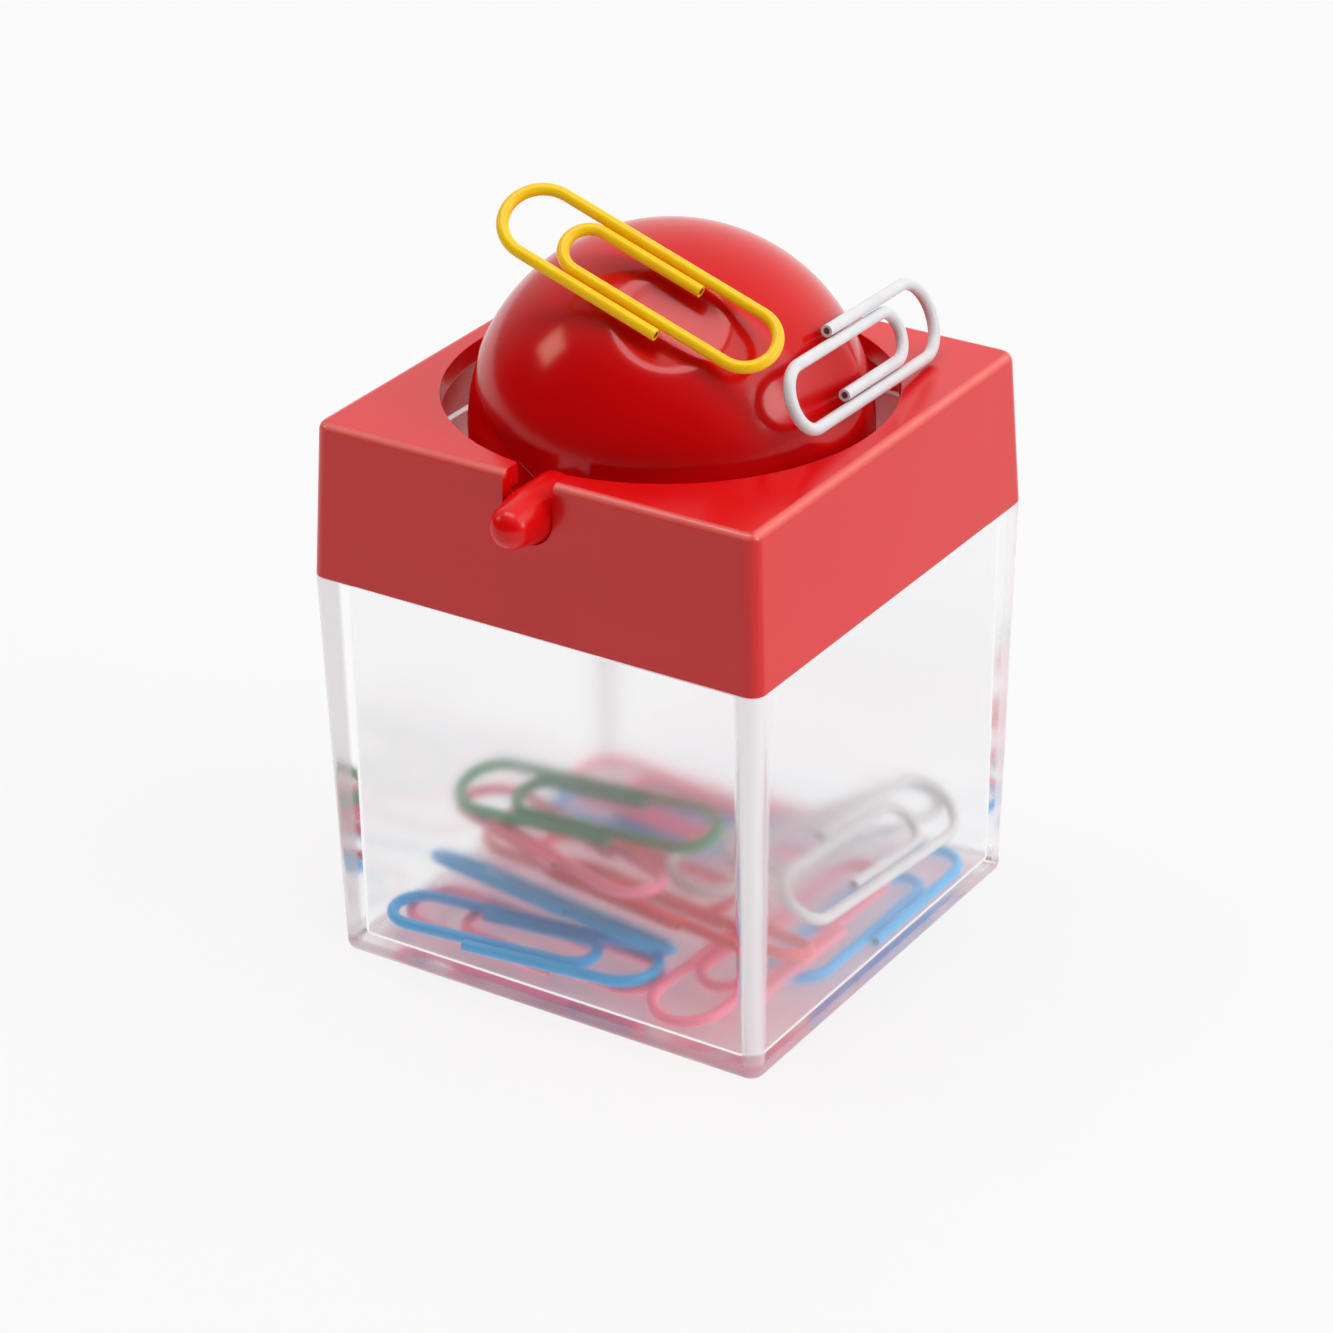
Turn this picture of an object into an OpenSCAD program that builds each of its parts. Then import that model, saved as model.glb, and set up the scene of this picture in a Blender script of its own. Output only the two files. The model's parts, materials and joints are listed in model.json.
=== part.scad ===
// Desk dispenser for paper clips. A clear box holds the clips, and a lid carries a hollow
// ball on an axle. Magnets behind dimples in the ball lift clips out as the knob is turned.
// The origin is the centre of the box's base; the knob faces -Y.

/* [Box] */
// Outer width at the seam under the lid
box_w = 47; // [47:0.5:60]
// How much narrower the base is than the seam
base_draft = 1.6; // [0.6:0.1:2]
// Height from the base to the seam
box_h = 39.1; // [33:0.1:60]
// Floor thickness
box_floor = 1.6; // [1:0.1:3]
// Radius of the upright corners
corner_r = 1.4; // [0.8:0.1:3]
// Rounding of the base's outer edge
base_edge_r = 0.8; // [0.4:0.1:1.2]
// Neck wall thickness
neck_wall = 0.8; // [0.6:0.1:0.9]
// Clearance between the neck and the lid, at the tightest point
neck_gap = 0.12; // [0.05:0.01:0.2]
// Clearance between the neck's rim and the axle
neck_axle_gap = 0.25; // [0.15:0.05:1]

/* [Lid] */
// How much narrower the top is than the seam
lid_draft = 1.4; // [0.6:0.1:1.5]
// Height from the seam to the top
lid_h = 14.9; // [12:0.1:20]
// Skirt wall thickness
lid_wall = 1.4; // [1:0.1:1.5]
// Top plate thickness
lid_plate = 2; // [1.2:0.1:3]
// Rounding of the top edge
lid_edge_r = 0.8; // [0.4:0.1:1.5]
// Clearance between the ball and the opening, at the plate
ball_gap = 2.2; // [0.8:0.1:2.4]
// How far the lip along the back stands out
lip_out = 0.5; // [0.3:0.1:1.5]
// Height of the lip along the back
lip_h = 1.2; // [0.8:0.1:3]

/* [Ball] */
// Ball diameter
ball_d = 36.8; // [34:0.2:38]
// Depth of the axle below the lid's top face
axle_drop = 3.6; // [3:0.1:6]
// Shell wall thickness
shell_wall = 1.4; // [1:0.1:2.5]
// How much smaller the base half's radius is
seam_step = 0.15; // [0:0.05:0.4]
// Turn of the seam about the axle, from level
seam_turn = 25; // [-40:1:40]
// Dimple diameter
dimple_d = 10; // [6:0.5:14]
// Depth of a dimple's dish below its rim
dish_depth = 0.4; // [0.2:0.1:0.8]
// Height of the ring inside the seam
spigot_h = 1.2; // [0.8:0.1:3]
// Wall of the ring inside the seam
spigot_wall = 0.8; // [0.5:0.1:1.5]

/* [Magnets] */
// Magnet diameter
magnet_d = 8; // [5:0.5:10]
// Magnet thickness
magnet_h = 2.5; // [1.5:0.1:4]
// Skin left between a dimple and its magnet
magnet_skin = 0.8; // [0.5:0.1:1.5]
// Wall of the cup that holds a magnet
cup_wall = 1; // [0.6:0.1:2]

/* [Axle] */
// Pin diameter
pin_d = 4.95; // [3.5:0.05:6]
// Radial clearance between a pin and its slot
pin_gap = 0.08; // [0.03:0.01:0.1]
// Radial clearance of the pins in the shells
hub_gap = 0.03; // [0.02:0.01:0.1]
// Diameter of the flange that holds a pin inside the ball
flange_d = 8; // [6.5:0.1:10]
// Flange thickness
flange_h = 1.5; // [1:0.1:3]
// How far the knob stands out of the lid's front at the axle
knob_out = 4.3; // [2:0.1:8]
// Diameter of the knob's domed end
knob_d = 4; // [3:0.05:5]
// How far the rear pin stands out of the lid's back at the axle
stub_out = 0.3; // [0.1:0.1:1]

/* [Clips] */
// Clip length
clip_len = 28.4; // [26:0.1:28.4]
// Clip width
clip_w = 8.1; // [7:0.1:8.1]
// Coated wire diameter
wire_d = 1.12; // [0.9:0.01:1.12]
// Gap between wires that lie side by side
wire_gap = 0.1; // [0.05:0.05:0.3]
// Distance from the large loop to the inner loop
inner_set = 6.2; // [4:0.1:8]
// Distance from the large loop to the outer tip
outer_tip = 18.6; // [12:0.5:20]
// Distance from the large loop to the inner tip
inner_tip = 19.3; // [12:0.5:20]
// Gap between a held clip and the ball
clip_gap = 0.12; // [0.05:0.01:0.5]

/* [Clips on the ball] */
// Where the yellow clip touches the ball: turn about the axle, tilt towards the knob
yellow_place = [22, 30];
// Shift of the yellow clip from there, in its own plane
yellow_slide = [-4.2, 0.9];
// Turn of the yellow clip in its own plane
yellow_spin = 3; // [-180:1:180]
// Height of the white clip's middle above the lid's top
white_lift = 4.1; // [4:0.1:8]
// Tilt towards the knob of the place where the white clip touches the ball
white_tilt = -5; // [-20:1:20]
// Shift of the white clip from there, in its own plane
white_slide = [-0.9, 3.6];
// Turn of the white clip in its own plane
white_spin = -92.5; // [-180:1:180]

/* [Hidden] */
$fn = 96;
eps = 0.01;

clear_c = [0.9, 0.92, 0.94, 0.35];
red = [0.85, 0.12, 0.14];
dark_red = [0.72, 0.08, 0.1];
bright_red = [0.93, 0.2, 0.2];
steel = [0.72, 0.73, 0.75];
yellow = [1, 0.77, 0];
white = [0.95, 0.95, 0.95];
blue = [0.18, 0.59, 0.78];
pink = [1, 0.56, 0.66];
coral = [0.85, 0.38, 0.44];
green = [0.37, 0.62, 0.5];

// Heights
lid_top_z = box_h + lid_h;
axle_z = lid_top_z - axle_drop;
neck_top_z = axle_z - pin_d / 2 - neck_axle_gap;
ball_r = ball_d / 2;
base_r = ball_r - seam_step;
opening_d = ball_d + 2 * ball_gap;

// The lid's skirt narrows as it rises, so its width is a function of height.
function lid_w_at(z) = box_w - lid_draft * (z - box_h) / lid_h;
neck_w = lid_w_at(neck_top_z) - 2 * (lid_wall + neck_gap);
cavity_w = neck_w - 2 * neck_wall;
slot_w = pin_d + 2 * pin_gap;
// From the ball's centre to the lid's outer face, along the axle
front_reach = lid_w_at(axle_z) / 2;

// The flange's outer face, and the hub that traps it, from the ball's centre
flange_out = ball_r - 2 * shell_wall;
flange_in = flange_out - flange_h;
hub_in = flange_in - shell_wall;
hub_d = flange_d + 2 * cup_wall;

// From the ball's centre to the middle of a held clip's wire, and the white clip's turn
held_r = ball_r + clip_gap + wire_d / 2;
white_turn = acos((axle_drop + white_lift) / (held_r * cos(white_tilt)));

// Magnet places on a half-shell: [turn about the axle from its pole, tilt towards the knob]
magnet_places = [[-3, 30], [43, 0]];

// A square slab with rounded upright corners
module slab(w, h, r) {
    linear_extrude(h) offset(r = r) square(w - 2 * r, center = true);
}

// A square block whose width changes from w0 to w1, with a rounded edge at one end
module tapered_block(w0, w1, h, r, edge, round_top) {
    slice = 0.02;
    z0 = round_top ? 0 : edge;
    z1 = round_top ? h - edge : h;
    w_low = w0 + (w1 - w0) * z0 / h;
    w_high = w0 + (w1 - w0) * z1 / h;
    hull() {
        translate([0, 0, z0]) slab(w_low, slice, r, $fn = 32);
        translate([0, 0, z1 - slice]) slab(w_high, slice, r, $fn = 32);
        for (a = [0 : 15 : 90]) {
            inset = edge * (1 - cos(a));
            rise = edge * sin(a);
            z = round_top ? z1 + rise - slice : z0 - rise;
            w = (round_top ? w_high : w_low) - 2 * inset;
            translate([0, 0, z]) slab(w, slice, max(r - inset, 0.3), $fn = 32);
        }
    }
}

// The clear box, open at the top, with a neck that fits inside the lid
module clear_box() {
    color(clear_c) difference() {
        union() {
            tapered_block(box_w - base_draft, box_w, box_h, corner_r, base_edge_r, false);
            translate([0, 0, box_floor]) slab(neck_w, neck_top_z - box_floor, corner_r);
        }
        translate([0, 0, box_floor]) slab(cavity_w, neck_top_z, corner_r / 2);
    }
}

// A U slot along Y, open upwards, centred on the axle
module axle_slot(y0, y1) {
    translate([0, y1, axle_z]) rotate([90, 0, 0]) cylinder(d = slot_w, h = y1 - y0);
    translate([-slot_w / 2, y0, axle_z]) cube([slot_w, y1 - y0, axle_drop + lid_h]);
}

// The lid: a tapered skirt and a top plate with the ball's opening and the axle slots
module lid() {
    hollow_h = lid_h - lid_plate;
    hollow_top_w = lid_w_at(box_h + hollow_h) - 2 * lid_wall;
    color(red) difference() {
        translate([0, 0, box_h]) union() {
            tapered_block(box_w, box_w - lid_draft, lid_h, corner_r, lid_edge_r, true);
            back_lip();
        }
        translate([0, 0, box_h]) hull() {
            translate([0, 0, -eps]) slab(box_w - 2 * lid_wall, eps, corner_r / 2, $fn = 32);
            translate([0, 0, hollow_h - eps]) slab(hollow_top_w, eps, corner_r / 2, $fn = 32);
        }
        translate([0, 0, box_h]) cylinder(d = opening_d, h = lid_h + 1);
        axle_slot(-box_w / 2 - 1, -opening_d / 2 + 2);
        axle_slot(opening_d / 2 - 2, box_w / 2 + 1);
    }
}

// The lip along the bottom of the lid's back, for pulling the lid off
module back_lip() {
    lip_w = box_w - 2 * corner_r;
    translate([-lip_w / 2, box_w / 2 - lid_wall / 2, 0])
        cube([lip_w, lid_wall / 2 + lip_out, lip_h]);
}

// Places its children on the ball's surface, with +Z pointing outwards
module on_ball(place, r) {
    rotate([0, place[0], 0]) rotate([place[1], 0, 0]) translate([0, 0, r]) children();
}

// Everything that turns with the ball is drawn about the axle, cap upwards, then set in place.
module set_ball() {
    translate([0, 0, axle_z]) rotate([0, seam_turn, 0]) children();
}

// Radius at which a flat disc of diameter d just fits inside a sphere of radius r
function chord_z(r, d) = sqrt(r * r - d * d / 4);

// Lowest point of a dimple's dish, and the seat of its magnet, from the ball's centre
function dish_z(r) = chord_z(r, dimple_d) - dish_depth;
function magnet_z(r) = dish_z(r) - magnet_skin - magnet_h;

// The dish cut for one dimple, a shallow part of a large sphere
module dimple_cut() {
    dish_r = (dimple_d * dimple_d / 4 + dish_depth * dish_depth) / (2 * dish_depth);
    translate([0, 0, dish_r]) sphere(r = dish_r);
}

// A solid boss inside the shell, its flat end buried in the shell's wall
module boss(r, d, z) {
    translate([0, 0, z]) cylinder(d = d, h = (r - shell_wall + chord_z(r, d)) / 2 - z);
}

// One half of the shell, with its magnet cups, hubs and dimples
module half_shell(r) {
    difference() {
        union() {
            difference() {
                sphere(r = r);
                sphere(r = r - shell_wall);
            }
            for (p = magnet_places) on_ball(p, 0) boss(r, magnet_d + 2 * cup_wall, magnet_z(r));
            for (tip = [-90, 90]) rotate([tip, 0, 0]) boss(r, hub_d, hub_in);
        }
        for (p = magnet_places) {
            on_ball(p, dish_z(r)) dimple_cut();
            on_ball(p, magnet_z(r) - 1)
                cylinder(d = magnet_d + 2 * hub_gap, h = magnet_h + 1 + hub_gap);
        }
        for (tip = [-90, 90]) rotate([tip, 0, 0]) {
            translate([0, 0, hub_in - 1]) cylinder(d = pin_d + 2 * hub_gap, h = ball_r);
            translate([0, 0, flange_in - hub_gap])
                cylinder(d = flange_d + 2 * hub_gap, h = flange_h + 2 * hub_gap);
        }
        translate([0, 0, -2 * r]) cube(4 * r, center = true);
    }
}

// The upper half-shell of the ball
module ball_cap() {
    color(red) set_ball() half_shell(ball_r);
}

// The lower half-shell, with a ring that locates it inside the cap
module ball_base() {
    ring_r = ball_r - shell_wall - hub_gap;
    hole_r = ring_r - spigot_wall;
    color(dark_red) set_ball() {
        rotate([0, 180, 0]) half_shell(base_r);
        difference() {
            translate([0, 0, -spigot_h]) cylinder(r = ring_r, h = 2 * spigot_h);
            translate([0, 0, -2 * spigot_h]) cylinder(r = hole_r, h = 4 * spigot_h);
            cube([hub_d + 2 * hub_gap, 4 * ball_r, 4 * ball_r], center = true);
        }
    }
}

// A pin along +Z from the ball's centre: shank, then the flange that the shells trap
module axle_pin(reach) {
    translate([0, 0, hub_in]) cylinder(d = pin_d, h = reach - hub_in);
    translate([0, 0, flange_in]) cylinder(d = flange_d, h = flange_h);
}

// The front pin, which ends in the knob that turns the ball
module knob_pin() {
    dome_z = front_reach + knob_out - knob_d / 2;
    color(bright_red) set_ball() rotate([90, 0, 0]) {
        axle_pin(front_reach);
        translate([0, 0, front_reach])
            cylinder(d1 = pin_d, d2 = knob_d, h = dome_z - front_reach);
        translate([0, 0, dome_z]) sphere(d = knob_d);
    }
}

// The plain rear pin
module rear_pin() {
    color(bright_red) set_ball() rotate([-90, 0, 0]) axle_pin(front_reach + stub_out);
}

// A disc magnet in its cup behind a dimple
module magnet(place, r, half_turn) {
    color(steel) set_ball() rotate([0, half_turn, 0])
        on_ball(place, magnet_z(r)) cylinder(d = magnet_d, h = magnet_h);
}

module top_magnet() { magnet(magnet_places[0], ball_r, 0); }
module side_magnet() { magnet(magnet_places[1], ball_r, 0); }
module bottom_magnet() { magnet(magnet_places[0], base_r, 180); }
module far_magnet() { magnet(magnet_places[1], base_r, 180); }

// A straight stretch of wire along X
module wire(x0, x1, y) {
    translate([x0, y, 0]) rotate([0, 90, 0]) cylinder(d = wire_d, h = x1 - x0);
}

// Half a turn of wire about [x, y]; side is -1 for the large loop's end and 1 for the other
module bend(x, y, r, side) {
    translate([x, y, 0]) rotate([0, 0, side < 0 ? 90 : -90])
        rotate_extrude(angle = 180) translate([r, 0]) circle(d = wire_d);
}

// One paper clip, flat in XY and centred on its length, with its large loop towards -X
module clip() {
    outer = (clip_w - wire_d) / 2;
    inner = outer - wire_d - wire_gap;
    far_r = (outer + inner) / 2;
    large_x = wire_d / 2 + outer;
    far_x = clip_len - wire_d / 2 - far_r;
    inner_x = inner_set + wire_d / 2 + inner;
    translate([-clip_len / 2, 0, 0]) {
        wire(large_x, outer_tip, -outer);
        bend(large_x, 0, outer, -1);
        wire(large_x, far_x, outer);
        bend(far_x, (outer - inner) / 2, far_r, 1);
        wire(inner_x, far_x, -inner);
        bend(inner_x, 0, inner, -1);
        wire(inner_x, inner_tip, inner);
    }
}

// A clip that a magnet holds on the ball: its plane touches the ball at [turn, tilt]
module held_clip(place, slide, spin) {
    translate([0, 0, axle_z]) on_ball(place, held_r)
        translate([slide[0], slide[1], 0]) rotate([0, 0, spin]) clip();
}

module yellow_clip() { color(yellow) held_clip(yellow_place, yellow_slide, yellow_spin); }
module white_clip() { color(white) held_clip([white_turn, white_tilt], white_slide, white_spin); }

// A loose clip in the box: at is its middle, measured up from the floor
module loose(at, turn) {
    translate([at[0], at[1], box_floor + at[2]]) rotate(turn) clip();
}

module pink_clip_floor() { color(pink) loose([-6, -14.3, 0.65], [0, 0, -4]); }
module blue_clip_front() { color(blue) loose([-6, -16.1, 1.9], [180, 0, 187]); }
module blue_clip_leaning() { color(blue) loose([-6.3, -10.7, 3.2], [-30, 0, -8]); }
module blue_clip_right() { color(blue) loose([16.2, 5.4, 0.65], [180, 0, -90]); }
module blue_clip_back() { color(blue) loose([-6, 13, 0.7], [0, 0, 10]); }
module pink_clip_corner() { color(pink) loose([14, -6.2, 2.6], [0, -8, 80]); }
module pink_clip_upper() { color(pink) loose([-7.2, -8, 8.2], [-4, -3, -22]); }
module pink_clip_back() { color(pink) loose([-5.5, 12.4, 2.6], [5, 0, -6]); }
module green_clip() { color(green) loose([-5.9, -5, 10.6], [14, -3, 1]); }
module coral_clip_low() { color(coral) loose([-6.3, -1, 2.6], [5, 0, -4]); }
module coral_clip_leaning() { color(coral) loose([5.4, -9.4, 5.4], [-20, 0, -8]); }
module white_clip_middle() { color(white) loose([9.8, 7, 6.3], [10, 0, 66]); }
module white_clip_right() { color(white) loose([16.6, 4.5, 8.3], [-38, -4, -92]); }

clear_box();
lid();
ball_cap();
ball_base();
knob_pin();
rear_pin();
top_magnet();
side_magnet();
bottom_magnet();
far_magnet();
yellow_clip();
white_clip();
blue_clip_front();
blue_clip_leaning();
blue_clip_right();
blue_clip_back();
pink_clip_floor();
pink_clip_corner();
pink_clip_upper();
pink_clip_back();
green_clip();
coral_clip_low();
coral_clip_leaning();
white_clip_middle();
white_clip_right();
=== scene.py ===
import json
import math

import bmesh
import bpy
from mathutils import Matrix, Quaternion, Vector


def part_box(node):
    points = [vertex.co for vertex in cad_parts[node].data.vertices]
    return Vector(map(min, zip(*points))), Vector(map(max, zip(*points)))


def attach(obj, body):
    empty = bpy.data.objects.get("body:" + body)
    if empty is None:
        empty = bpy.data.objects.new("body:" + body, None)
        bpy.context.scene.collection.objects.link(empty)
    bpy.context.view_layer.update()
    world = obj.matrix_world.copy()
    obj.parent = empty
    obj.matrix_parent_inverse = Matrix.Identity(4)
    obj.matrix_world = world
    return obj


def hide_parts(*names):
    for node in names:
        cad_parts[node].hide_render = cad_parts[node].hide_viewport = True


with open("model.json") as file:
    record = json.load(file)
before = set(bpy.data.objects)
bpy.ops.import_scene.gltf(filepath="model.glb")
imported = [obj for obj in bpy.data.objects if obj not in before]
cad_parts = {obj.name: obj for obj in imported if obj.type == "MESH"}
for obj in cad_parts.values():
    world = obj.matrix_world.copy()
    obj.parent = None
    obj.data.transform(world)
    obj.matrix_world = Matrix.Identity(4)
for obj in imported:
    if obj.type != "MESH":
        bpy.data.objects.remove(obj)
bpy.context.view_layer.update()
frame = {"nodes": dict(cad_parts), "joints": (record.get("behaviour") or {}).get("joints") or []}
mm = 0.001

# ---------------------------------------------------------------------------
# The table and the camera.
# The dispenser stands on a plain white table top, seen from its front right, from a little above.
# ---------------------------------------------------------------------------

aim = Vector((-0.9, 0.05, 25.4)) * mm
view_distance = 414 * mm
view_turn = math.radians(32.99)
view_drop = math.radians(27.53)
view_roll = math.radians(-0.85)
sight = Vector((-math.sin(view_turn) * math.cos(view_drop),
                math.cos(view_turn) * math.cos(view_drop),
                -math.sin(view_drop)))
camera = bpy.data.objects.new("camera", bpy.data.cameras.new("camera"))
camera.data.lens = 121.0
camera.location = aim - sight * view_distance
camera.rotation_mode = "QUATERNION"
camera.rotation_quaternion = sight.to_track_quat("-Z", "Y") @ Quaternion((0, 0, 1), view_roll)
bpy.context.scene.collection.objects.link(camera)
bpy.context.scene.camera = camera
bpy.context.scene.view_settings.view_transform = "Standard"


class Link:
    """An output of a shader node. Sums and products of links add Math nodes to their finish."""

    def __init__(self, finish, socket):
        self.finish = finish
        self.socket = socket

    def math(self, operation, first, second):
        return self.finish.node("ShaderNodeMath", {"operation": operation}, {0: first, 1: second})

    def __add__(self, other):
        return self.math("ADD", self, other)

    def __radd__(self, other):
        return self.math("ADD", other, self)

    def __sub__(self, other):
        return self.math("SUBTRACT", self, other)

    def __rsub__(self, other):
        return self.math("SUBTRACT", other, self)

    def __mul__(self, other):
        return self.math("MULTIPLY", self, other)

    def __rmul__(self, other):
        return self.math("MULTIPLY", other, self)

    def __abs__(self):
        return self.finish.node("ShaderNodeMath", {"operation": "ABSOLUTE"}, {0: self})

    def at_least(self, other):
        return self.math("MAXIMUM", self, other)


class Finish:
    """A material built round one Principled shader, whose constants are set as it is made."""

    def __init__(self, name, constants):
        self.material = bpy.data.materials.new(name)
        self.material.use_nodes = True
        self.tree = self.material.node_tree
        self.tree.nodes.clear()
        self.shader = self.tree.nodes.new("ShaderNodeBsdfPrincipled")
        self.output = self.tree.nodes.new("ShaderNodeOutputMaterial")
        self.tree.links.new(self.shader.outputs[0], self.output.inputs["Surface"])
        self.feed(constants)

    def node(self, kind, settings, sockets, out=0):
        made = self.tree.nodes.new(kind)
        for key, value in settings.items():
            setattr(made, key, value)
        for key, value in sockets.items():
            self.plug(made.inputs[key], value)
        return Link(self, made.outputs[out])

    def plug(self, socket, value):
        if isinstance(value, Link):
            self.tree.links.new(value.socket, socket)
        else:
            socket.default_value = value

    def feed(self, sockets):
        for key, value in sockets.items():
            self.plug(self.shader.inputs[key], value)

    def place(self):
        return self.node("ShaderNodeTexCoord", {}, {}, "Object")

    def axes(self):
        """How far a point lies along X, Y and Z, in metres."""
        spot = self.place()
        return [self.node("ShaderNodeSeparateXYZ", {}, {0: spot}, axis) for axis in range(3)]

    def noise(self, size, detail=2.0, roughness=0.5):
        """Noise whose features are about size metres across, from 0 to 1."""
        return self.node("ShaderNodeTexNoise", {}, {
            "Vector": self.place(), "Scale": 1 / size, "Detail": detail, "Roughness": roughness})

    def ramp(self, value, low, high):
        """0 below low and 1 above high."""
        return self.node("ShaderNodeMapRange", {"clamp": True}, {
            "Value": value, "From Min": low, "From Max": high})

    def blend(self, factor, first, second):
        return self.node("ShaderNodeMix", {"data_type": "RGBA"}, {0: factor, 6: first, 7: second}, 2)

    def bump(self, height, distance, strength=1.0):
        return self.node("ShaderNodeBump", {}, {
            "Height": height, "Distance": distance, "Strength": strength})


def shade(hex_colour):
    """A colour given as it looks on a screen, in the linear values that a shader takes."""
    parts = [int(hex_colour[i:i + 2], 16) / 255 for i in (0, 2, 4)]
    return [c / 12.92 if c < 0.04045 else ((c + 0.055) / 1.055) ** 2.4 for c in parts] + [1]


table_finish = Finish("table", {"Roughness": 0.6, "Specular IOR Level": 0.1,
                                "Emission Color": shade("FFFFFF"), "Emission Strength": 0.77})
table_tone = table_finish.noise(60 * mm)
table_finish.feed({"Base Color": table_finish.blend(table_tone, shade("6E6E6E"), shade("727272"))})
bm = bmesh.new()
bmesh.ops.create_grid(bm, x_segments=1, y_segments=1, size=2.0,
                      matrix=Matrix.Translation((0, 0, -0.02 * mm)))
table_mesh = bpy.data.meshes.new("table")
bm.to_mesh(table_mesh)
table_mesh.materials.append(table_finish.material)
table = bpy.data.objects.new("table", table_mesh)
bpy.context.scene.collection.objects.link(table)

# ---------------------------------------------------------------------------
# The light.
# A room that is bright behind and above and darker towards the camera, and four soft lamps, the
# upper left one warm. The table top glows a little by itself, which keeps it an even white.
# ---------------------------------------------------------------------------

world = bpy.data.worlds.new("room")
world.use_nodes = True
bpy.context.scene.world = world
sky = world.node_tree.nodes
wires = world.node_tree.links
background = sky["Background"]
direction = sky.new("ShaderNodeTexCoord")
bright_side = sky.new("ShaderNodeVectorMath")
bright_side.operation = "DOT_PRODUCT"
bright_side.inputs[1].default_value = Vector((0.12, 0.8, 0.59)).normalized()
wires.new(direction.outputs["Generated"], bright_side.inputs[0])
fade = sky.new("ShaderNodeMapRange")
fade.interpolation_type = "SMOOTHSTEP"
fade.inputs["From Min"].default_value = -0.25
fade.inputs["From Max"].default_value = 0.75
fade.inputs["To Min"].default_value = 0.02
fade.inputs["To Max"].default_value = 0.92
wires.new(bright_side.outputs["Value"], fade.inputs["Value"])
wires.new(fade.outputs[0], background.inputs["Strength"])
background.inputs["Color"].default_value = (1, 1, 1, 1)


def lamp(name, place, target, size, power, colour=(1, 1, 1)):
    data = bpy.data.lights.new(name, "AREA")
    data.shape = "RECTANGLE"
    data.size, data.size_y = size
    data.energy = power
    data.color = colour
    made = bpy.data.objects.new(name, data)
    made.location = place
    made.rotation_mode = "QUATERNION"
    made.rotation_quaternion = (Vector(target) - Vector(place)).to_track_quat("-Z", "Y")
    bpy.context.scene.collection.objects.link(made)


lamp("key", (0.55, 0.15, 0.62), (0, 0, 0.03), (0.5, 0.5), 1.2)
lamp("right", (0.79, 0.08, 0.35), (0, 0, 0.05), (0.28, 0.28), 1.4)
lamp("overhead", (-0.12, -0.08, 0.92), (-0.12, -0.08, 0.06), (0.75, 0.26), 2.8)
lamp("upper left", (-0.68, -0.3, 0.52), (0, 0, 0.05), (0.2, 0.2), 0.75, (1, 0.8, 0.6))

# ---------------------------------------------------------------------------
# The clear box.
# One moulding of clear polystyrene: four drafted walls, a floor, and a thinner neck for the lid.
# It is lofted through rounded squares, from the base up the outside and down the inside.
# ---------------------------------------------------------------------------


def draw_on(bm, face):
    """Extrudes a solid's end face, or a lone face, and returns the new end face."""
    alone = face.edges[0].is_boundary
    drawn = bmesh.ops.extrude_face_region(bm, geom=[face])["geom"]
    if not alone:
        bmesh.ops.delete(bm, geom=[face], context="FACES_ONLY")
    return next(g for g in drawn if isinstance(g, bmesh.types.BMFace))


def loft(bm, outlines):
    """A closed solid through rounded squares, each given as width, height and corner radius."""
    width, z, radius = outlines[0]
    corners = bmesh.ops.create_grid(bm, x_segments=1, y_segments=1, size=width / 2,
                                    matrix=Matrix.Translation((0, 0, z)))["verts"]
    bmesh.ops.bevel(bm, geom=corners, offset=radius, segments=6, profile=0.5,
                    affect="VERTICES", material=-1)
    end = bm.faces[:][0]
    for next_width, next_z, next_radius in outlines[1:]:
        end = draw_on(bm, end)
        for vert in end.verts:
            side = Vector((math.copysign(1, vert.co.x), math.copysign(1, vert.co.y)))
            arc = vert.co.xy - side * (width / 2 - radius)
            vert.co.xy = side * (next_width / 2 - next_radius) + arc * (next_radius / radius)
            vert.co.z = next_z
        width, radius = next_width, next_radius
    bmesh.ops.recalc_face_normals(bm, faces=bm.faces)


def creases(bm, least=30, level=None):
    """The edges that turn by more than least degrees, all of them or those at one height."""
    found = []
    for edge in bm.edges:
        if edge.is_manifold and edge.calc_face_angle() > math.radians(least):
            if level is None or all(abs(v.co.z - level) < 0.01 * mm for v in edge.verts):
                found.append(edge)
    return found


def round_over(bm, edges, radius, steps=3):
    bmesh.ops.bevel(bm, geom=edges, offset=radius, segments=steps, profile=0.5,
                    affect="EDGES", material=-1, clamp_overlap=True)


def finished(bm, name, body, slot, materials, node, sharp=32):
    """Makes the piece from its bmesh, smooth but for its sharp edges, riding in place of its node."""
    for face in bm.faces:
        face.smooth = True
    for edge in bm.edges:
        edge.smooth = not edge.is_manifold or edge.calc_face_angle() < math.radians(sharp)
    mesh = bpy.data.meshes.new(name)
    bm.to_mesh(mesh)
    bm.free()
    for material in materials:
        mesh.materials.append(material)
    piece = bpy.data.objects.new(name, mesh)
    bpy.context.scene.collection.objects.link(piece)
    normals = piece.modifiers.new("flat faces stay flat", "WEIGHTED_NORMAL")
    normals.keep_sharp = True
    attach(piece, body)
    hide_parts(node)
    return piece


box_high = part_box("clear_box")[1]
lid_low, lid_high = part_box("lid")
box_w = 2 * box_high.x
base_draft = 1.6 * mm
seam_z = lid_low.z
floor = 1.6 * mm
corner = 1.4 * mm
lid_wall = 1.4 * mm
neck_wall = 0.8 * mm
neck_gap = 0.12 * mm
lid_draft = 1.4 * mm
lid_h = lid_high.z - seam_z
neck_w = box_w - lid_draft * (box_high.z - seam_z) / lid_h - 2 * (lid_wall + neck_gap)
cavity_w = neck_w - 2 * neck_wall

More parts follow.
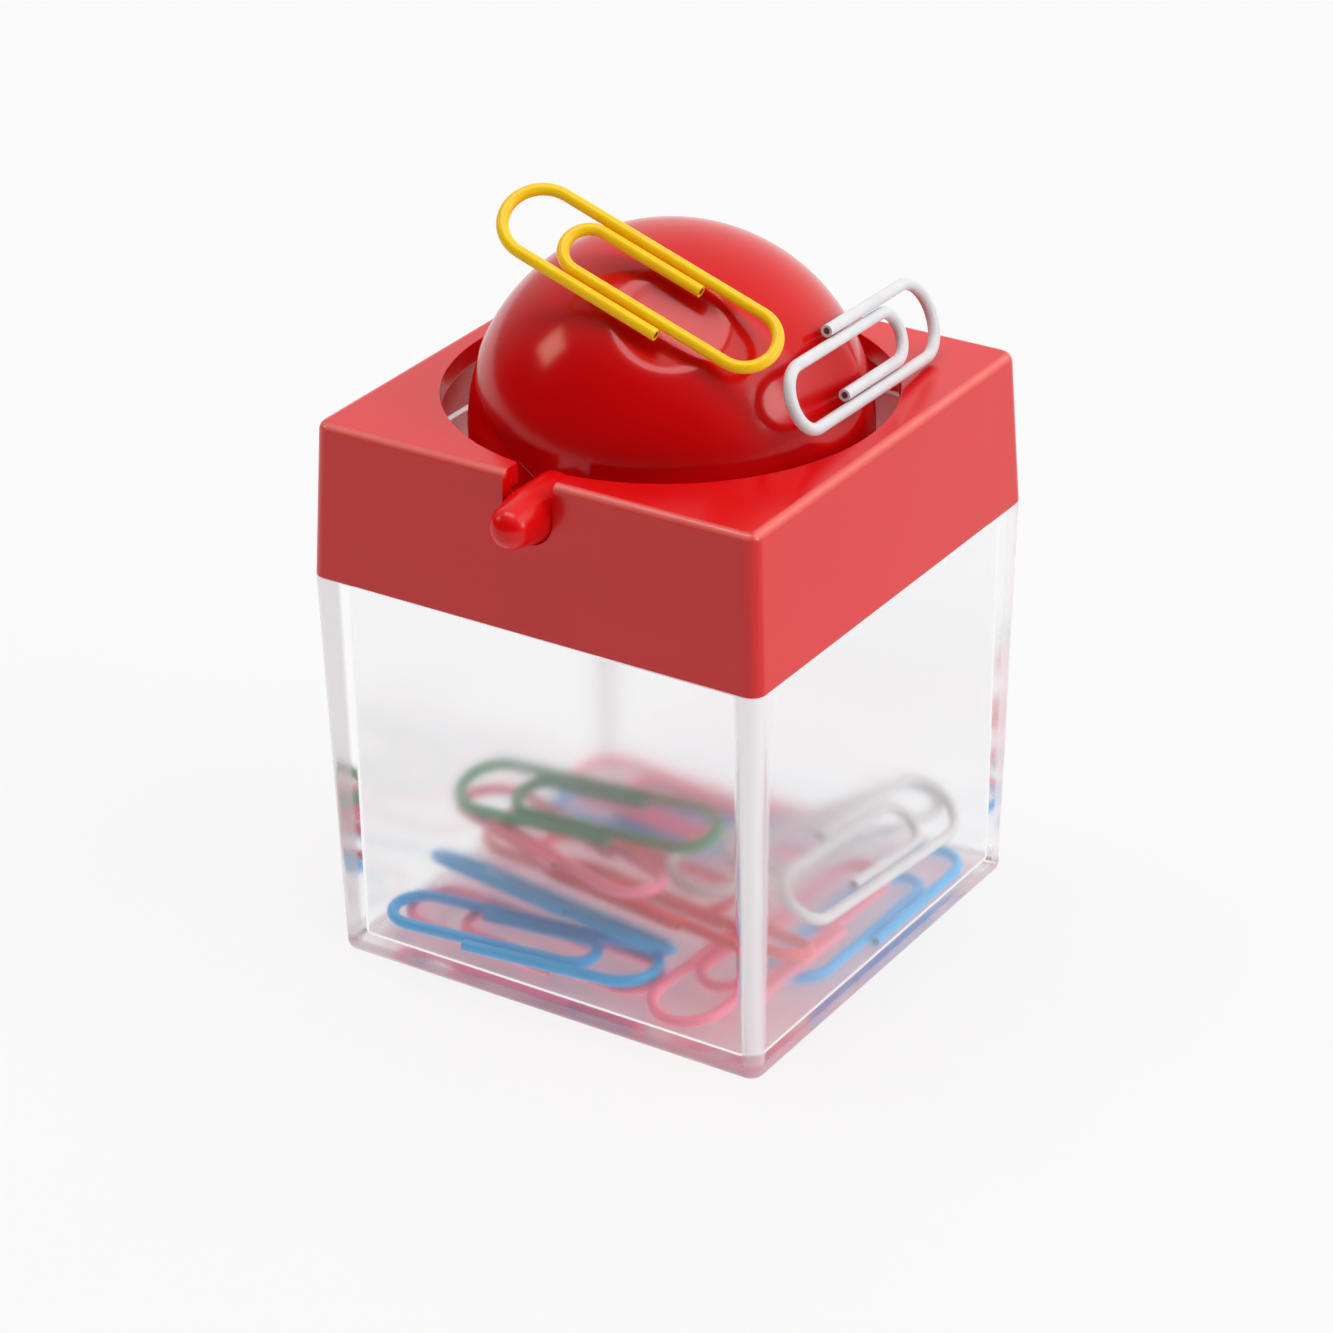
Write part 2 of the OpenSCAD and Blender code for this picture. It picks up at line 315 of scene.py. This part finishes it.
bm = bmesh.new()
loft(bm, [(box_w - base_draft, 0, corner), (box_w, seam_z, corner), (neck_w, seam_z, corner),
          (neck_w, box_high.z, corner), (cavity_w, box_high.z, corner / 2), (cavity_w, floor, corner / 2)])
round_over(bm, creases(bm, level=0), 0.8 * mm, 5)
shoulder = neck_w / 2 + mm
seam = [e for e in creases(bm, level=seam_z) if e.verts[0].co.xy.length > shoulder]
round_over(bm, seam, 0.12 * mm, 2)
round_over(bm, creases(bm, level=box_high.z), 0.2 * mm, 3)
round_over(bm, creases(bm, level=floor), 0.6 * mm, 4)

clear_finish = Finish("clear plastic", {
    "Base Color": shade("FBFBFC"), "Transmission Weight": 1.0, "IOR": 1.5})
haze = clear_finish.noise(9 * mm, 3)
clear_finish.feed({"Roughness": haze * 0.04 + 0.11})
inside = cavity_w / 2


def beyond(value, start, width):
    """Rises from 0 to 1 as value passes start."""
    return clear_finish.ramp(value, start - width / 2, start + width / 2)


# A milky veil lies over the upright corners, wider at the left and the back, where it is painted pale to
# stand in for the bright strips that light makes in the thick clear corners; over the neck; and over the
# floor, whose pink is a painted reflection of the clips lying on it.
veil_shift = 0.5 * mm
painted_corner_veil = 0.8
neck_veil = 0.4
foot_veil = 0.7
x, y, z = clear_finish.axes()
side_x = abs(x - veil_shift)
side_y = abs(y + veil_shift)
# Painted pale strips at the upright corners, standing in for the light that the corners carry.
painted_pale_corners = beyond(side_x, inside, 0.5 * mm) * beyond(side_y, inside, 0.5 * mm)
base = 1 - beyond(z, floor, 0.4 * mm)
neck = beyond(z, seam_z, 0.3 * mm)
# The floor's middle is painted pink and its edge greyish pink: a painted reflection of the clips lying on
# it.
middle = (1 - beyond(side_x, inside, 1 * mm)) * (1 - beyond(side_y, inside, 1 * mm))
painted_clip_tint = clear_finish.blend(middle, shade("DAC4CA"), shade("C4647E"))
milky = clear_finish.node("ShaderNodeBsdfPrincipled", {}, {
    "Roughness": 0.3, "IOR": 1.5, "Transmission Weight": 0.4,
    "Base Color": clear_finish.blend(base, shade("F2EAEE"), painted_clip_tint)})
cloud = (painted_pale_corners * painted_corner_veil).at_least(neck * neck_veil).at_least(base * foot_veil)
moulding = clear_finish.node("ShaderNodeMixShader", {}, {
    0: cloud, 1: Link(clear_finish, clear_finish.shader.outputs[0]), 2: milky})
# Shadow rays and rays that the plastic has reflected go straight through, so its edges stay pale.
shadow, bounced = (clear_finish.node("ShaderNodeLightPath", {}, {}, ray)
                   for ray in ("Is Shadow Ray", "Is Reflection Ray"))
open_air = clear_finish.node("ShaderNodeBsdfTransparent", {}, {"Color": shade("FFFFFF")})
lit_through = clear_finish.node("ShaderNodeMixShader", {}, {0: shadow + bounced, 1: moulding, 2: open_air})
clear_finish.plug(clear_finish.output.inputs["Surface"], lit_through)
finished(bm, "clear_box_moulding", "box", "clear_plastic", [clear_finish.material], "clear_box")

# ---------------------------------------------------------------------------
# The wire clips.
# Each is steel wire in a coloured vinyl coat, bent three times and cut square at both ends,
# so that the steel shows as a dark disc inside a ring of coating.
# ---------------------------------------------------------------------------

clip_len = 28.4 * mm
clip_w = 8.1 * mm
wire_d = 1.12 * mm
core_d = 0.62 * mm
wire_gap = 0.1 * mm
inner_set = 6.2 * mm
outer_tip = 18.6 * mm
inner_tip = 19.3 * mm

outer_r = (clip_w - wire_d) / 2
inner_r = outer_r - wire_d - wire_gap
far_r = (outer_r + inner_r) / 2
large_x = wire_d / 2 + outer_r
far_x = clip_len - wire_d / 2 - far_r
inner_x = inner_set + wire_d / 2 + inner_r

core_finish = Finish("cut steel", {"Metallic": 1.0, "Roughness": 0.45})
core_tone = core_finish.noise(0.25 * mm, 4)
core_finish.feed({"Base Color": core_finish.blend(core_tone, shade("3A3432"), shade("8D8784"))})


def coating(name, colour, deep):
    """Vinyl drawn over wire: smooth, a little uneven in tone, with faint drag marks."""
    made = Finish(name, {"IOR": 1.42})
    tone = made.noise(2.5 * mm, 3)
    grain = made.noise(0.35 * mm, 4, 0.6)
    made.feed({"Base Color": made.blend(made.ramp(tone, 0.35, 0.75), shade(colour), shade(deep)),
               "Roughness": grain * 0.14 + 0.24,
               "Normal": made.bump(grain, 0.02 * mm, 0.35)})
    return made.material


coats = {
    "yellow": coating("yellow vinyl", "FFD000", "FFC400"),
    "white": coating("white vinyl", "E0E0E2", "D6D6DA"),
    "blue": coating("blue vinyl", "0CAEF2", "0AA4E8"),
    "pink": coating("pink vinyl", "FF86A4", "FF7A9A"),
    "green": coating("green vinyl", "4DB07C", "44A270"),
    "coral": coating("coral vinyl", "F0525C", "E4464F"),
}


def run(bm, face, way):
    """Draws the wire's end face on in a straight line, and returns the new end face."""
    end = draw_on(bm, face)
    bmesh.ops.translate(bm, verts=end.verts[:], vec=way)
    return end


def bend(bm, face, centre, steps=22):
    """Bends the wire half a turn clockwise about centre, and returns the new end face."""
    turned = bmesh.ops.spin(bm, geom=[face] + face.edges[:] + face.verts[:], cent=centre,
                            axis=(0, 0, 1), dvec=(0, 0, 0), angle=-math.pi, steps=steps)
    return next(g for g in turned["geom_last"] if isinstance(g, bmesh.types.BMFace))


def cut_end(bm, face):
    """Leaves the steel as a disc of its own, slightly sunk in a ring of coating."""
    bmesh.ops.inset_individual(bm, faces=[face], thickness=(wire_d - core_d) / 2,
                               depth=-0.04 * mm, use_even_offset=True)
    face.material_index = 1


def clip_mesh(place):
    """One clip, drawn from its outer tip to its inner tip, and moved to its place."""
    bm = bmesh.new()
    start = Matrix.Translation((outer_tip, -outer_r, 0)) @ Matrix.Rotation(math.pi / 2, 4, "Y")
    bmesh.ops.create_circle(bm, cap_ends=True, segments=20, radius=wire_d / 2, matrix=start)
    outer_end = bm.faces[:][0]
    end = run(bm, outer_end, (large_x - outer_tip, 0, 0))
    end = bend(bm, end, (large_x, 0, 0))
    end = run(bm, end, (far_x - large_x, 0, 0))
    end = bend(bm, end, (far_x, (outer_r - inner_r) / 2, 0))
    end = run(bm, end, (inner_x - far_x, 0, 0))
    end = bend(bm, end, (inner_x, 0, 0))
    end = run(bm, end, (inner_tip - inner_x, 0, 0))
    bmesh.ops.recalc_face_normals(bm, faces=bm.faces)
    for face in (outer_end, end):
        cut_end(bm, face)
    bmesh.ops.translate(bm, verts=bm.verts, vec=(-clip_len / 2, 0, 0))
    bmesh.ops.transform(bm, verts=bm.verts, matrix=place)
    return bm


def turned(degrees):
    """The turn that a CAD rotation about X, then Y, then Z makes."""
    about = [Matrix.Rotation(math.radians(angle), 4, axis) for angle, axis in zip(degrees, "XYZ")]
    return about[2] @ about[1] @ about[0]


# Each loose clip's middle in mm, with its height above the box's floor, and its turn in degrees.
pile = {
    "pink_clip_floor": ((-6, -14.3, 0.65), (0, 0, -4)),
    "blue_clip_front": ((-6, -16.1, 1.9), (180, 0, 187)),
    "blue_clip_leaning": ((-6.3, -10.7, 3.2), (-30, 0, -8)),
    "blue_clip_right": ((16.2, 5.4, 0.65), (180, 0, -90)),
    "blue_clip_back": ((-6, 13, 0.7), (0, 0, 10)),
    "pink_clip_corner": ((14, -6.2, 2.6), (0, -8, 80)),
    "pink_clip_upper": ((-7.2, -8, 8.2), (-4, -3, -22)),
    "pink_clip_back": ((-5.5, 12.4, 2.6), (5, 0, -6)),
    "green_clip": ((-5.9, -5, 10.6), (14, -3, 1)),
    "coral_clip_low": ((-6.3, -1, 2.6), (5, 0, -4)),
    "coral_clip_leaning": ((5.4, -9.4, 5.4), (-20, 0, -8)),
    "white_clip_middle": ((9.8, 7, 6.3), (10, 0, 66)),
    "white_clip_right": ((16.6, 4.5, 8.3), (-38, -4, -92)),
}
for node, (middle, turn) in pile.items():
    colour = node.split("_")[0]
    place = Matrix.Translation(Vector(middle) * mm + Vector((0, 0, floor))) @ turned(turn)
    finished(clip_mesh(place), node + "_wire", "box", colour + "_coating",
             [coats[colour], core_finish.material], node)

# ---------------------------------------------------------------------------
# The ball.
# Two glossy half-shells, glued on a seam through the axle. The cap's edge stands a little proud
# of the base. Each half has two shallow dimples, where the magnets hold a clip.
# ---------------------------------------------------------------------------

axle = Vector(next(j for j in frame["joints"] if j["name"] == "ball_turn")["pos_m"])
ball_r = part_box("ball_cap")[1].z - axle.z
seam_step = 0.15 * mm
shell_wall = 1.4 * mm
seam_turn = math.radians(25)
dimple_d = 10 * mm
dish_depth = 0.4 * mm
dimple_blend = 0.3 * mm
dimple_places = [(-3, 30), (43, 0)]


def on_ball(turn, tilt):
    return Matrix.Rotation(math.radians(turn), 4, "Y") @ Matrix.Rotation(math.radians(tilt), 4, "X")


def soft_lower(one, other, blend):
    """The lower of two heights, with the corner between them rounded off."""
    gap = max(blend - abs(one - other), 0) / blend
    return min(one, other) - gap * gap * blend / 4


def press_dimple(bm, radius, outwards):
    """Sinks a round, slightly hollow recess into the sphere, with a softened rim."""
    rim = dimple_d / 2
    rim_z = math.sqrt(radius ** 2 - rim ** 2)
    for vert in bm.verts:
        height = vert.co.dot(outwards)
        across = (vert.co - outwards * height).length
        if height > 0 and across < rim * 1.4:
            hollow = rim_z - dish_depth * (1 - (across / rim) ** 2)
            vert.co += outwards * (soft_lower(height, hollow, dimple_blend) - height)


def half_shell(radius, flip):
    """One half of the ball about its own centre, open side down, or up when flipped."""
    bm = bmesh.new()
    bmesh.ops.create_cube(bm, size=2)
    bmesh.ops.subdivide_edges(bm, edges=bm.edges, cuts=119, use_grid_fill=True)
    for vert in bm.verts:
        vert.co = vert.co.normalized() * radius
    bmesh.ops.bisect_plane(bm, geom=bm.verts[:] + bm.edges[:] + bm.faces[:], plane_co=(0, 0, 0),
                           plane_no=(0, 0, -1), clear_outer=True, dist=0.001 * mm)
    for place in dimple_places:
        press_dimple(bm, radius, on_ball(*place) @ Vector((0, 0, 1)))
    half = Matrix.Rotation(seam_turn + flip * math.pi, 4, "Y")
    bmesh.ops.transform(bm, verts=bm.verts, matrix=Matrix.Translation(axle) @ half)
    return bm


def red_gloss(name, colour, deep, roughness):
    """Glossy coloured polystyrene: even, with a faint flow pattern and the finest orange peel."""
    made = Finish(name, {"IOR": 1.38})
    flow = made.noise(14 * mm, 2)
    peel = made.noise(1.1 * mm, 2)
    scuff = made.noise(3 * mm, 4, 0.6)
    made.feed({"Base Color": made.blend(flow, shade(colour), shade(deep)),
               "Roughness": scuff * 0.08 + roughness,
               "Normal": made.bump(peel, 0.02 * mm, 0.15)})
    return made.material


cap_red = red_gloss("ball cap red", "D4080C", "CA0609", 0.12)
base_red = red_gloss("ball base red", "E00408", "D40306", 0.12)
for name, radius, flip, red, node, slot in (
        ("ball_cap_shell", ball_r, 0, cap_red, "ball_cap", "red_plastic"),
        ("ball_base_shell", ball_r - seam_step, 1, base_red, "ball_base", "dark_red_plastic")):
    shell = finished(half_shell(radius, flip), name, "ball", slot, [red], node)
    wall = shell.modifiers.new("wall", "SOLIDIFY")
    wall.thickness = shell_wall
    wall.offset = -1
    edge = shell.modifiers.new("seam edge", "BEVEL")
    edge.limit_method = "ANGLE"
    edge.angle_limit = math.radians(60)
    edge.width = 0.12 * mm
    edge.segments = 2

magnet_finish = Finish("nickel plate", {"Metallic": 1.0})
magnet_tone = magnet_finish.noise(0.8 * mm, 3)
magnet_finish.feed({"Base Color": magnet_finish.blend(magnet_tone, shade("B9BABD"), shade("C9C8C4")),
                    "Roughness": magnet_tone * 0.2 + 0.2})
for node in ("top_magnet", "side_magnet", "bottom_magnet", "far_magnet"):
    magnet_mesh = frame["nodes"][node].data
    magnet_mesh.materials.clear()
    magnet_mesh.materials.append(magnet_finish.material)

# ---------------------------------------------------------------------------
# The axle pins.
# Bright red mouldings trapped by their flanges between the half-shells. The front one ends in
# the tapered, domed knob; the rear one is cut just proud of the lid.
# ---------------------------------------------------------------------------

pin_d = 4.95 * mm
knob_d = 4 * mm
knob_out = 4.3 * mm
stub_out = 0.3 * mm
stub_chamfer = 0.3 * mm
hub_in = 12.7 * mm
flange_in = 14.1 * mm
flange_h = 1.5 * mm
flange_d = 8 * mm
front_reach = (box_w - lid_draft * (axle.z - seam_z) / lid_h) / 2


def turned_pin(profile, steps=48):
    """Spins a profile of radius and distance about the axle, closed on the axis at both ends."""
    bm = bmesh.new()
    verts = [bm.verts.new((radius, 0, along)) for radius, along in profile]
    chain = [bm.edges.new(pair) for pair in zip(verts, verts[1:])]
    bmesh.ops.spin(bm, geom=verts + chain, cent=(0, 0, 0), axis=(0, 0, 1), dvec=(0, 0, 0),
                   angle=2 * math.pi, steps=steps, use_merge=True)
    bmesh.ops.remove_doubles(bm, verts=bm.verts, dist=0.001 * mm)
    bmesh.ops.recalc_face_normals(bm, faces=bm.faces)
    return bm


shank = [(0, hub_in), (pin_d / 2, hub_in), (pin_d / 2, flange_in), (flange_d / 2, flange_in),
         (flange_d / 2, flange_in + flange_h), (pin_d / 2, flange_in + flange_h)]
dome_at = front_reach + knob_out - knob_d / 2
dome = [(knob_d / 2 * math.cos(math.radians(a)), dome_at + knob_d / 2 * math.sin(math.radians(a)))
        for a in range(0, 90, 10)]
knob_profile = shank + [(pin_d / 2, front_reach)] + dome + [(0, dome_at + knob_d / 2)]
stub_end = front_reach + stub_out
rear_profile = shank + [(pin_d / 2, stub_end - stub_chamfer),
                        (pin_d / 2 - stub_chamfer, stub_end), (0, stub_end)]

knob_red = red_gloss("knob red", "E80A0C", "DE080A", 0.2)
for name, profile, quarter, node in (("knob_pin_turning", knob_profile, 1, "knob_pin"),
                                     ("rear_pin_turning", rear_profile, -1, "rear_pin")):
    bm = turned_pin(profile)
    way = Matrix.Translation(axle) @ Matrix.Rotation(quarter * math.pi / 2, 4, "X")
    bmesh.ops.transform(bm, verts=bm.verts, matrix=way)
    finished(bm, name, "ball", "knob_plastic", [knob_red], node)

# ---------------------------------------------------------------------------
# The lid.
# A red moulding with a drafted skirt, a flat top with a round opening for the ball, and a
# U slot at the front and back for the pins. A lip along the back is for pulling it off.
# ---------------------------------------------------------------------------

lid_plate = 2 * mm
lid_edge_r = 0.8 * mm
ball_gap = 2.2 * mm
pin_gap = 0.08 * mm
lip_out = 0.5 * mm
lip_h = 1.2 * mm
opening_r = ball_r + ball_gap
slot_w = pin_d + 2 * pin_gap
ceiling_z = lid_high.z - lid_plate
ceiling_w = box_w - lid_draft * (ceiling_z - seam_z) / lid_h - 2 * lid_wall


def cut_away(bm, cutter):
    """Takes the cutter's volume away from the body, and returns what is left."""
    parts = []
    for part in (bm, cutter):
        mesh = bpy.data.meshes.new("part")
        part.to_mesh(mesh)
        part.free()
        parts.append(bpy.data.objects.new("part", mesh))
        bpy.context.scene.collection.objects.link(parts[-1])
    trim = parts[0].modifiers.new("trim", "BOOLEAN")
    trim.operation = "DIFFERENCE"
    trim.solver = "EXACT"
    trim.object = parts[1]
    left = bmesh.new()
    left.from_object(parts[0], bpy.context.evaluated_depsgraph_get())
    for part in parts:
        bpy.data.objects.remove(part)
    bmesh.ops.remove_doubles(left, verts=left.verts, dist=0.002 * mm)
    bmesh.ops.dissolve_limit(left, angle_limit=math.radians(0.5), verts=left.verts, edges=left.edges)
    return left


bm = bmesh.new()
loft(bm, [(ceiling_w, ceiling_z, corner / 2), (box_w - 2 * lid_wall, seam_z, corner / 2),
          (box_w, seam_z, corner), (box_w - lid_draft, lid_high.z, corner)])
round_over(bm, creases(bm, level=lid_high.z), lid_edge_r, 5)

opening = bmesh.new()
bmesh.ops.create_cone(opening, cap_ends=True, segments=128, radius1=opening_r, radius2=opening_r,
                      depth=10 * mm, matrix=Matrix.Translation((0, 0, lid_high.z)))
bm = cut_away(bm, opening)

slot = bmesh.new()
sides = bmesh.ops.create_grid(slot, x_segments=1, y_segments=1, size=slot_w / 2)["verts"]
upper = [v for v in sides if v.co.y > 0]
lower = [v for v in sides if v.co.y < 0]
bmesh.ops.translate(slot, verts=upper, vec=(0, 10 * mm, 0))
bmesh.ops.bevel(slot, geom=lower, offset=slot_w / 2 * 0.999, segments=14, profile=0.5,
                affect="VERTICES", material=-1)
run(slot, slot.faces[:][0], (0, 0, 60 * mm))
bmesh.ops.recalc_face_normals(slot, faces=slot.faces)
stand = Matrix.Translation(axle + Vector((0, 30 * mm, 0))) @ Matrix.Rotation(math.pi / 2, 4, "X")
bmesh.ops.transform(slot, verts=slot.verts, matrix=stand)
bm = cut_away(bm, slot)
round_over(bm, creases(bm, 35), 0.22 * mm, 3)

lip = bmesh.ops.create_cube(bm, size=1)["verts"]
lip_w = box_w - 2 * corner
bmesh.ops.scale(bm, verts=lip, vec=(lip_w, lid_wall / 2 + lip_out, lip_h))
bmesh.ops.translate(bm, verts=lip, vec=(0, (box_w - lid_wall / 2 + lip_out) / 2, seam_z + lip_h / 2))
round_over(bm, list({e for v in lip for e in v.link_edges}), 0.2 * mm, 3)

lid_finish = Finish("lid red", {"IOR": 1.5})
lid_flow = lid_finish.noise(22 * mm, 2)
lid_grain = lid_finish.noise(0.5 * mm, 3, 0.6)
lid_scuff_and_highlight_noise = lid_finish.noise(5 * mm, 5, 0.6)
# The rounded top edges are painted paler: a painted highlight along them, standing in for the bright line
# the light draws there.
x, y, z = lid_finish.axes()
from_axis = abs(x).at_least(abs(y))
top_half = (box_w - lid_draft) / 2
painted_edge_highlight = (lid_finish.ramp(from_axis, top_half - 0.8 * mm, top_half - 0.25 * mm)
          * lid_finish.ramp(z, lid_high.z - 0.75 * mm, lid_high.z - 0.2 * mm) * (lid_scuff_and_highlight_noise * 0.4 + 0.28))
lid_red = lid_finish.blend(lid_flow, shade("DE0C10"), shade("D4080C"))
# The pale pink mixed in here is the painted edge highlight.
lid_finish.feed({"Base Color": lid_finish.blend(painted_edge_highlight, lid_red, shade("FFA79C")),
                 "Roughness": lid_scuff_and_highlight_noise * 0.08 + 0.14,
                 "Normal": lid_finish.bump(lid_grain, 0.015 * mm, 0.25)})
finished(bm, "lid_moulding", "lid", "red_plastic", [lid_finish.material], "lid")

# ---------------------------------------------------------------------------
# The clips on the ball.
# Two of the same clips, each lying flat against the ball over a dimple. They ride bodies of their
# own, which can be pulled straight off the ball.
# ---------------------------------------------------------------------------

clip_gap = 0.12 * mm
held_r = ball_r + clip_gap + wire_d / 2
axle_drop = lid_high.z - axle.z
white_lift = 4.1 * mm
white_tilt = -5
level_r = held_r * math.cos(math.radians(white_tilt))
white_turn = math.degrees(math.acos((axle_drop + white_lift) / level_r))
# Each held clip's turn and tilt on the ball, its slide over the ball in mm, and its spin.
held = {
    "yellow_clip": ((22, 30), (-4.2, 0.9), 3),
    "white_clip": ((white_turn, white_tilt), (-0.9, 3.6), -92.5),
}
for node, (place, slide, spin) in held.items():
    colour = node.split("_")[0]
    where = (Matrix.Translation(axle) @ on_ball(*place)
             @ Matrix.Translation((slide[0] * mm, slide[1] * mm, held_r))
             @ Matrix.Rotation(math.radians(spin), 4, "Z"))
    finished(clip_mesh(where), node + "_wire", node, colour + "_coating",
             [coats[colour], core_finish.material], node)
